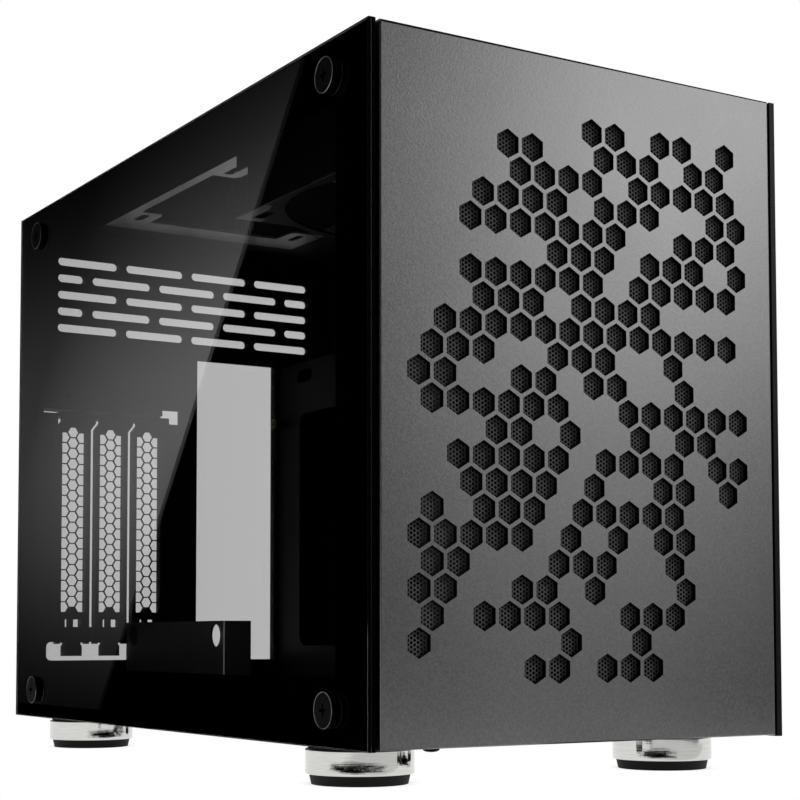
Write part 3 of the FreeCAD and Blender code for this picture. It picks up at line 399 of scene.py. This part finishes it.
def frontMesh():
    # cells behind the hexagonal holes of the plate are the open ones; the sheet lies at the back of
    # its place, so that the holes look deep
    look = {"pitchMm": 1.55, "holeMm": 1.22, "thickMm": 0.3, "sightMm": 3.0, "seenDeepMm": 6.0,
            "backMm": 0.02, "startMm": 0.01}
    plate = nodes["front_panel"].data
    tree = BVHTree.FromPolygons([v.co for v in plate.vertices], [tuple(f.vertices) for f in plate.polygons])
    low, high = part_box("front_mesh")
    level = high.y - metres(look["backMm"])
    sight = metres(look["sightMm"])
    turns = [math.radians(60 * k) for k in range(6)]
    around = [(0, 0)] + [(sight * math.cos(a), sight * math.sin(a)) for a in turns]

    def isOpen(u, v):
        for du, dv in around:
            start = Vector((v + dv, level - metres(look["startMm"]), u + du))
            if tree.ray_cast(start, Vector((0, -1, 0)), metres(look["seenDeepMm"]))[0] is None:
                return True
        return False

    size = ((low.z, low.x), (high.z, high.x))
    sheet = perforatedSheet("frontMeshSheet", size, level, look, lambda u, v, w: (v, w, u),
                            blackenedMesh, isOpen)
    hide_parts("front_mesh")


def roofMesh():
    # every cell is open, as the whole sheet is in sight from above
    look = {"pitchMm": 2.2, "holeMm": 1.5, "thickMm": 0.36, "liftMm": 0.1}
    low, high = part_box("roof_mesh")
    size = ((low.x, low.y), (high.x, high.y))
    sheet = perforatedSheet("roofMeshSheet", size, low.z + metres(look["liftMm"]), look,
                            lambda u, v, w: (u, v, w), deepBlack, lambda u, v: True)
    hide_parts("roof_mesh")


def drawnIn(low, high, mm):
    # a box's limits in y and z, drawn in by this much
    d = metres(mm)
    return low.y + d, high.y - d, low.z + d, high.z - d


def paintedEdgeShade():
    # painted shade: black on the ground front edge, with a thin clear line along its middle, and just
    # inside the other three edges
    look = {"insetMm": 0.1, "proudMm": 0.02, "lineFromFaceMm": 1.1, "lineMm": 0.35}
    low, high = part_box("glass_panel")
    y0, y1, z0, z1 = drawnIn(low, high, look["insetMm"])
    x0, x3 = low.x + metres(look["insetMm"]), high.x - metres(look["insetMm"])
    x1 = low.x + metres(look["lineFromFaceMm"])
    x2 = x1 + metres(look["lineMm"])
    front = low.y - metres(look["proudMm"])
    runs = [((front, z0), (front, z1), low.x, x1), ((front, z0), (front, z1), x2, high.x),
            ((y1, z0), (y1, z1), x0, x3), ((y0, z0), (y1, z0), x0, x3), ((y0, z1), (y1, z1), x0, x3)]
    points, faces = [], []
    for start, end, a, b in runs:
        k = len(points)
        points += [(a, *start), (b, *start), (b, *end), (a, *end)]
        faces.append((k, k + 1, k + 2, k + 3))
    meshPiece("glassEdgeInk", points, faces, inkAndEdgeShade)


def printedBorder():
    # black frame fired on the inner face of the glass
    look = {"borderMm": 24.0, "insetMm": 0.1, "gapMm": 0.01, "thickMm": 0.06}
    low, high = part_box("glass_panel")
    corners = []
    for mm in (look["insetMm"], look["borderMm"]):
        y0, y1, z0, z1 = drawnIn(low, high, mm)
        corners += [(y0, z0), (y1, z0), (y1, z1), (y0, z1)]
    levels = (high.x + metres(look["gapMm"]), high.x + metres(look["thickMm"]))
    points = [(x, y, z) for x in levels for y, z in corners]
    faces = []
    for k in range(4):
        n = (k + 1) % 4
        faces += [(k, n, 4 + n, 4 + k), (8 + k, 12 + k, 12 + n, 8 + n),
                  (k, 8 + k, 8 + n, n), (4 + k, 4 + n, 12 + n, 12 + k)]
    meshPiece("glassPrintedBorder", points, faces, inkAndEdgeShade)


def ringShape(centre, radius, wire, look):
    # thin round rim about an axis that runs from side to side
    cx, cy, cz = centre
    steps, sides = look["steps"], look["sides"]
    points, faces = [], []
    for k in range(steps):
        a = 2 * math.pi * k / steps
        for j in range(sides):
            b = 2 * math.pi * j / sides
            r = radius + wire * math.cos(b)
            points.append((cx + wire * math.sin(b), cy + r * math.cos(a), cz + r * math.sin(a)))
            n, m = (k + 1) % steps, (j + 1) % sides
            faces.append((k * sides + j, n * sides + j, n * sides + m, k * sides + m))
    return points, faces


def baseScrew():
    # low domed screw head under the front plate's return, at its left end
    look = {"headMm": 3.0, "deepMm": 1.4, "fromFrontMm": 6.2, "fromSideMm": 24.0, "steps": 32,
            "dome": ((1.0, 0.0), (1.0, 0.25), (0.92, 0.6), (0.7, 0.86), (0.35, 1.0))}
    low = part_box("front_panel")[0]
    x, y = low.x + metres(look["fromSideMm"]), low.y + metres(look["fromFrontMm"])
    n, last = look["steps"], len(look["dome"]) - 1
    turns = [2 * math.pi * k / n for k in range(n)]
    points = []
    for reach, drop in look["dome"]:
        r, z = metres(look["headMm"]) * reach, low.z - metres(look["deepMm"]) * drop
        points += [(x + r * math.cos(a), y + r * math.sin(a), z) for a in turns]
    faces = [(k * n + j, k * n + (j + 1) % n, (k + 1) * n + (j + 1) % n, (k + 1) * n + j)
             for k in range(last) for j in range(n)]
    faces.append(tuple(range(last * n, (last + 1) * n)))
    meshPiece("baseScrew", points, faces, blackZinc)


def screwRims():
    # bright steel rims on the thumbscrews on both sides: they shine in the light, and their bright steel
    # stands in for the highlight along each rim
    look = {"headMm": 6.3, "wireMm": 0.12, "sunkMm": 0.02, "backMm": 0.15, "steps": 40, "sides": 6}
    r, wire, back = metres(look["headMm"]), metres(look["wireMm"]), metres(look["backMm"])
    inset = r + metres(look["wireMm"] - look["sunkMm"])
    for node in ("glass_screws", "right_screws"):
        low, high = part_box(node)
        x = low.x + back if node == "glass_screws" else high.x - back
        for y in (low.y + inset, high.y - inset):
            for z in (low.z + inset, high.z - inset):
                points, faces = ringShape((x, y, z), r, wire, look)
                rim = meshPiece(node + "Rim", points, faces, rimHighlight).data
                rim.polygons.foreach_set("use_smooth", [True] * len(rim.polygons))


def riserEdge():
    # painted highlight: a pale glowing line up the riser bracket's front corner
    look = {"proudMm": 0.02, "wideMm": 0.42}
    low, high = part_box("riser_bracket")
    x, y = low.x - metres(look["proudMm"]), low.y - metres(look["proudMm"])
    w = metres(look["wideMm"])
    points = [(x, y + w, low.z), (x, y + w, high.z), (x, y, high.z), (x, y, low.z),
              (x + w, y, high.z), (x + w, y, low.z)]
    meshPiece("riserEdge", points, [(0, 1, 2, 3), (3, 2, 4, 5)], paintedHighlight)


def cageEdges():
    # pale strip along the fan cage's edge, and a pale patch of painted highlight on its corner that widens
    # towards the back, round a slot
    look = {"proudMm": 0.02, "wideMm": 0.5, "frontMm": 2.0, "rearMm": 10.8, "inMm": 12.5,
            "cornerMm": (5.4, 28.0), "slotMm": (12.0, 5.4), "narrow": 0.6, "slanted": 0.75}
    low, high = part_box("hanging_cage")
    x, z = low.x + metres(look["inMm"]) - metres(look["proudMm"]), low.z - metres(look["proudMm"])
    front, rear = low.y + metres(look["frontMm"]), high.y - metres(look["rearMm"])
    w, narrow = metres(look["wideMm"]), look["narrow"]
    points = [(x, front, z), (x, rear, z), (x, rear, z + w), (x, front, z + w),
              (x + w * narrow, front, z), (x + w * narrow, rear, z)]
    meshPiece("cageEdge", points, [(0, 1, 2, 3), (0, 1, 5, 4)], greyCoat)
    wide, long = (metres(v) for v in look["cornerMm"])
    across, behind = (metres(v) for v in look["slotMm"])
    points = [(x, rear, z), (x, rear - long, z), (x + wide * narrow, rear - long, z),
              (x + wide, rear - long * look["slanted"], z), (x + wide, rear - behind, z),
              (x + across, rear - behind, z), (x + across, rear, z)]
    meshPiece("cageCorner", points, [tuple(range(len(points)))], greyCoat)


def frontTopLine():
    # painted shade: a dark line over the plate's rounded top edge, a little lower on its face at the left
    look = {"roundMm": 0.5, "proudMm": 0.02, "leftMm": 0.45, "rightMm": 0.1, "steps": 8}
    low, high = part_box("front_panel")
    r, proud = metres(look["roundMm"]), metres(look["proudMm"])
    left, right = low.x + r, high.x - r
    points = [(left, low.y - proud, high.z - r - metres(look["leftMm"])),
              (right, low.y - proud, high.z - r - metres(look["rightMm"]))]
    for k in range(look["steps"] + 1):
        a = math.radians(90 * k / look["steps"])
        y, z = low.y + r - (r + proud) * math.cos(a), high.z - r + (r + proud) * math.sin(a)
        points += [(left, y, z), (right, y, z)]
    faces = [(2 * k, 2 * k + 1, 2 * k + 3, 2 * k + 2) for k in range(look["steps"] + 1)]
    meshPiece("frontTopLine", points, faces, paintedShade)


frontMesh()
roofMesh()
printedBorder()
paintedEdgeShade()
baseScrew()
screwRims()
riserEdge()
cageEdges()
frontTopLine()
print("stage 4: mesh sheets, printed border, small screws and edges made")


# Studio: floor, world, lamps and cards seen only in reflections

def studioMaterial(name, strength, colour=white):
    # plain light; its strength is a number, or a function that draws it in the material's tree
    material, tree = newMaterial(name)
    value = strength(tree) if callable(strength) else strength
    finishMaterial(tree, addNode(tree, "ShaderNodeEmission", {"Color": colour, "Strength": value}))
    return material


def seenRays(tree):
    # 1 for what the camera sees, in gloss and through glass too, and 0 for light that fills the scene
    path = addNode(tree, "ShaderNodeLightPath").outputs
    direct = mathNode(tree, "MAXIMUM", path["Is Camera Ray"], path["Is Glossy Ray"])
    return mathNode(tree, "MAXIMUM", direct, path["Is Transmission Ray"])


def rectangle(axis, level, across, up):
    # corners of a flat card that lies at one level of x, y or z, which are axis 0, 1 and 2
    corners = []
    for a, b in ((0, 0), (1, 0), (1, 1), (0, 1)):
        corner = [across[a], up[b]]
        corner.insert(axis, level)
        corners.append(tuple(corner))
    return corners


def makeFloor():
    # white, with a painted contact shadow: a little greyer only where the soles meet it
    look = {"colour": "#e8e8e8", "nearMm": 10, "samples": 8, "shaded": 0.7, "openShare": 0.7,
            "half": 6.0}
    material, tree = newMaterial("studioFloor")
    plain = addNode(tree, "ShaderNodeBsdfDiffuse", {"Color": hexColour(look["colour"])})
    closeness = addNode(tree, "ShaderNodeAmbientOcclusion", {"Distance": metres(look["nearMm"])},
                        samples=look["samples"])
    glow = rangeNode(tree, closeness.outputs["AO"], (0.0, look["openShare"]), low=look["shaded"])
    seen = addNode(tree, "ShaderNodeEmission", {"Color": white, "Strength": glow})
    finishMaterial(tree, addNode(tree, "ShaderNodeMixShader", {
        0: seenRays(tree), 1: plain.outputs[0], 2: seen.outputs[0]}))
    span = (-look["half"], look["half"])
    floor = meshObject("studioFloor", rectangle(2, 0, span, span), [(0, 1, 2, 3)], material)


def makeWorld():
    # white wherever it is seen, and a low even light for everything else
    look = {"ambient": 0.17}
    world = bpy.data.worlds.new("studioWorld")
    bpy.context.scene.world = world
    world.use_nodes = True
    tree = world.node_tree
    tree.nodes.clear()
    strength = rangeNode(tree, seenRays(tree), (0.0, 1.0), low=look["ambient"])
    back = addNode(tree, "ShaderNodeBackground", {"Color": white, "Strength": strength})
    addNode(tree, "ShaderNodeOutputWorld", {"Surface": back.outputs[0]})


def reflectionCard(name, corners, material, blocksGlass=False, faces=None):
    # seen in gloss only, or through glass too: lights nothing and hides nothing from the camera
    card = meshObject(name, corners, faces or [tuple(range(len(corners)))], material)
    card.visible_camera = False
    card.visible_diffuse = False
    card.visible_transmission = blocksGlass
    card.visible_shadow = False
    card.visible_volume_scatter = False
    return card


def plainCard(name, corners, strength, colour=white, blocksGlass=False):
    reflectionCard(name, corners, studioMaterial(name, strength, colour), blocksGlass)


def glassCard():
    # dark flag beside the glass with a lit part behind a slanted edge; the light fades towards the
    # back, and above and below its own level
    look = {"x": -0.2, "y": (0, 1.2), "z": (0.008, 0.9), "edgeTop": (0.0666, 0.3347),
            "edgeFoot": (0.3263, 0.003), "peak": 0.545, "reach": 0.267, "least": 0.22,
            "level": 0.185, "spread": 0.0934}

    def drawLight(tree):
        place = addNode(tree, "ShaderNodeTexCoord").outputs["Object"]
        axes = addNode(tree, "ShaderNodeSeparateXYZ", {0: place}).outputs
        (y0, z0), (y1, z1) = look["edgeTop"], look["edgeFoot"]
        slope = (y1 - y0) / (z1 - z0)
        edge = mathNode(tree, "MULTIPLY_ADD", axes["Z"], slope, y0 - slope * z0)
        past = mathNode(tree, "SUBTRACT", axes["Y"], edge)
        lit = mathNode(tree, "GREATER_THAN", past, 0.0)
        fade = rangeNode(tree, past, (0.0, look["reach"]), 1.0, look["least"])
        offset = mathNode(tree, "SUBTRACT", axes["Z"], look["level"])
        squared = mathNode(tree, "POWER", offset, 2.0)
        belt = mathNode(tree, "EXPONENT", mathNode(tree, "MULTIPLY", squared, -1 / look["spread"] ** 2))
        shaped = mathNode(tree, "MULTIPLY", mathNode(tree, "MULTIPLY", lit, fade), belt)
        return mathNode(tree, "MULTIPLY", shaped, look["peak"])

    plainCard("studioGlassCard", rectangle(0, look["x"], look["y"], look["z"]), drawLight, blocksGlass=True)


def sillFlag():
    # dark strip that only the foot of the glass mirrors
    look = {"x": -0.1, "y": (-0.172, 0.19), "z": (0.0131, 0.0195)}
    plainCard("studioSillFlag", rectangle(0, look["x"], look["y"], look["z"]), 0.0, black, True)


def bell(tree, place, centre, spread, strength):
    # soft round glow on a card, wider along one axis where its spreads differ
    offset = vectorNode(tree, "SUBTRACT", place, centre)[0]
    scaled = vectorNode(tree, "DIVIDE", offset, spread)[0]
    square = vectorNode(tree, "DOT_PRODUCT", scaled, scaled)["Value"]
    shape = mathNode(tree, "EXPONENT", mathNode(tree, "MULTIPLY", square, -1.0))
    return mathNode(tree, "MULTIPLY", shape, strength)


def frontCard():
    # soft box in front of the blasted plate: a glow up and to the right, and a tall one down the middle
    look = {"y": -0.62, "x": (-0.3, 1.3), "z": (0.0, 1.2), "least": 0.03,
            "high": {"at": (0.48, 0.46), "spread": (0.2, 0.2), "strength": 2.9},
            "tall": {"at": (0.335, 0.22), "spread": (0.12, 0.26), "strength": 1.1}}

    def drawGlows(tree):
        place = addNode(tree, "ShaderNodeTexCoord").outputs["Object"]
        glows = []
        for part in (look["high"], look["tall"]):
            (cx, cz), (sx, sz) = part["at"], part["spread"]
            glows.append(bell(tree, place, (cx, look["y"], cz), (sx, 1.0, sz), part["strength"]))
        return mathNode(tree, "ADD", mathNode(tree, "ADD", *glows), look["least"])

    plainCard("studioFrontCard", rectangle(1, look["y"], look["x"], look["z"]), drawGlows)


def flags():
    # dark boards: one over the case, one to its left and one on the floor in front of it
    over = {"z": 1.0, "x": (-1.2, 1.2), "y": (-1.0, 1.4), "strength": 0.06}
    left = {"x": -0.5, "y": (-0.2, -1.2), "z": (0.06, 1.0), "strength": 0.05}
    low = {"z": 0.0006, "strength": 0.1, "corners": (
        (-0.2, -0.42), (0.1, -0.38), (0.2, -0.27), (1.2, -0.27), (1.2, -0.619), (-0.2, -0.619))}
    plainCard("studioTopFlag", rectangle(2, over["z"], over["x"], over["y"]), over["strength"],
              blocksGlass=True)
    plainCard("studioLeftFlag", rectangle(0, left["x"], left["y"], left["z"]), left["strength"])
    plainCard("studioFloorFlag", [(x, y, low["z"]) for x, y in low["corners"]], low["strength"])


def streakMaterial():
    # black streaks along a flag, broken up and thinning out towards its rim
    look = {"along": 3.2, "across": 13.0, "detail": 5.0, "broken": 0.65,
            "rims": {"X": 0.35, "Y": 0.3}, "cover": 0.7, "least": 1.05, "soft": 0.03}
    material, tree = newMaterial("studioFootStreaks")
    place = addNode(tree, "ShaderNodeTexCoord").outputs["UV"]
    axes = addNode(tree, "ShaderNodeSeparateXYZ", {0: place}).outputs
    offset = addNode(tree, "ShaderNodeObjectInfo").outputs["Random"]
    drawn = vectorNode(tree, "MULTIPLY", place, (look["along"], look["across"], 0))[0]
    streaks = addNode(tree, "ShaderNodeTexNoise", {
        "Vector": drawn, "W": offset, "Scale": 1.0, "Detail": look["detail"],
        "Roughness": look["broken"]}, noise_dimensions="4D").outputs["Fac"]
    rims = []
    for axis, power in look["rims"].items():
        # 0 at both ends of the axis and 1 half way between them
        rest = mathNode(tree, "SUBTRACT", 1.0, axes[axis])
        hump = mathNode(tree, "MULTIPLY", mathNode(tree, "MULTIPLY", rest, axes[axis]), 4.0)
        rims.append(mathNode(tree, "POWER", hump, power))
    body = mathNode(tree, "MULTIPLY", mathNode(tree, "MULTIPLY", *rims), look["cover"])
    total = mathNode(tree, "ADD", streaks, body)
    cover = rangeNode(tree, total, (look["least"], look["least"] + look["soft"]))
    clear = addNode(tree, "ShaderNodeBsdfTransparent")
    dark = addNode(tree, "ShaderNodeEmission", {"Color": black, "Strength": 0.0})
    finishMaterial(tree, addNode(tree, "ShaderNodeMixShader", {
        0: cover, 1: clear.outputs[0], 2: dark.outputs[0]}))
    return material


def footFlags():
    # dark patches beside each foot, just under its ring. They face "toward", where the camera stands;
    # "turns" is each patch's start and end in degrees from there, and "rise" the heights on the ring
    # where it shows
    look = {"rise": (0.004, 0.0088), "level": 0.0034, "steps": 24, "toward": (-0.39, -0.677, 0.052),
            "turns": {"fl": (-72, 62), "fr": (-52, 40), "rl": (-20, 100), "rr": (-50, 50)}}
    dark = streakMaterial()
    for foot, (start, end) in look["turns"].items():
        low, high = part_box("foot_ring_" + foot)
        cx, cy = (low.x + high.x) / 2, (low.y + high.y) / 2
        dx, dy = look["toward"][0] - cx, look["toward"][1] - cy
        slope = (look["toward"][2] - look["rise"][1]) / math.hypot(dx, dy)
        radius = (high.x - low.x) / 2
        near, far = ((z - look["level"]) / slope + radius for z in look["rise"])
        face = math.atan2(dy, dx)
        points, turns = [], []
        for k in range(look["steps"] + 1):
            share = k / look["steps"]
            a = face + math.radians(start + (end - start) * share)
            for reach, v in ((near, 0.0), (far, 1.0)):
                points.append((reach * math.cos(a), reach * math.sin(a), 0))
                turns.append((share, v))
        faces = [(2 * k, 2 * k + 1, 2 * k + 3, 2 * k + 2) for k in range(look["steps"])]
        flag = reflectionCard("studioFootFlag_" + foot, points, dark, faces=faces)
        flag.location = (cx, cy, look["level"])
        layer = flag.data.uv_layers.new(name="streaks")
        for loop in flag.data.loops:
            layer.data[loop.index].uv = turns[loop.vertex_index]


def floorShade():
    # greyer floor in front of the feet, seen only in gloss
    look = {"z": 0.0004, "x": (-0.2, 0.22), "y": (-0.2, -0.4), "strength": 0.74}
    plainCard("studioFloorShade", rectangle(2, look["z"], look["x"], look["y"]), look["strength"])


def makeLamps():
    # a key from the front right and a weaker one from above; neither shows in gloss
    look = {"keyLamp": {"place": (1.25, -1.35, 0.75), "aim": (0, 0, 0.13), "size": 0.8, "watts": 30},
            "topLamp": {"place": (-0.1, 0.2, 1.6), "aim": (0, 0, 0.1), "size": 1.2, "watts": 12}}
    for name, part in look.items():
        lamp = bpy.data.lights.new(name, "AREA")
        lamp.shape = "SQUARE"
        lamp.size = part["size"]
        lamp.energy = part["watts"]
        holder = linkObject(name, lamp)
        holder.location = part["place"]
        turn = (Vector(part["aim"]) - Vector(part["place"])).to_track_quat("-Z", "Y")
        holder.rotation_euler = turn.to_euler()
        holder.visible_glossy = False


def makeCamera():
    # fitted to the edges of the case; the focal length is in pixels of a square picture
    look = {"place": (-0.38981, -0.6767, 0.05227), "tilt": 93.236, "roll": 0.065, "turn": -31.830,
            "focal": 1745.3, "picture": 800, "sensorMm": 36, "shift": (-0.00283, 0.17325), "near": 0.01}
    lens = bpy.data.cameras.new("photoCamera")
    lens.sensor_width = look["sensorMm"]
    lens.lens = look["focal"] / look["picture"] * look["sensorMm"]
    lens.shift_x, lens.shift_y = look["shift"]
    lens.clip_start = look["near"]
    holder = linkObject("photoCamera", lens)
    holder.location = look["place"]
    holder.rotation_euler = [math.radians(look[key]) for key in ("tilt", "roll", "turn")]
    bpy.context.scene.camera = holder


makeFloor()
makeWorld()
glassCard()
sillFlag()
frontCard()
flags()
footFlags()
floorShade()
makeLamps()
makeCamera()
bpy.context.scene.view_settings.view_transform = "Standard"
print("stage 5: studio and camera set")
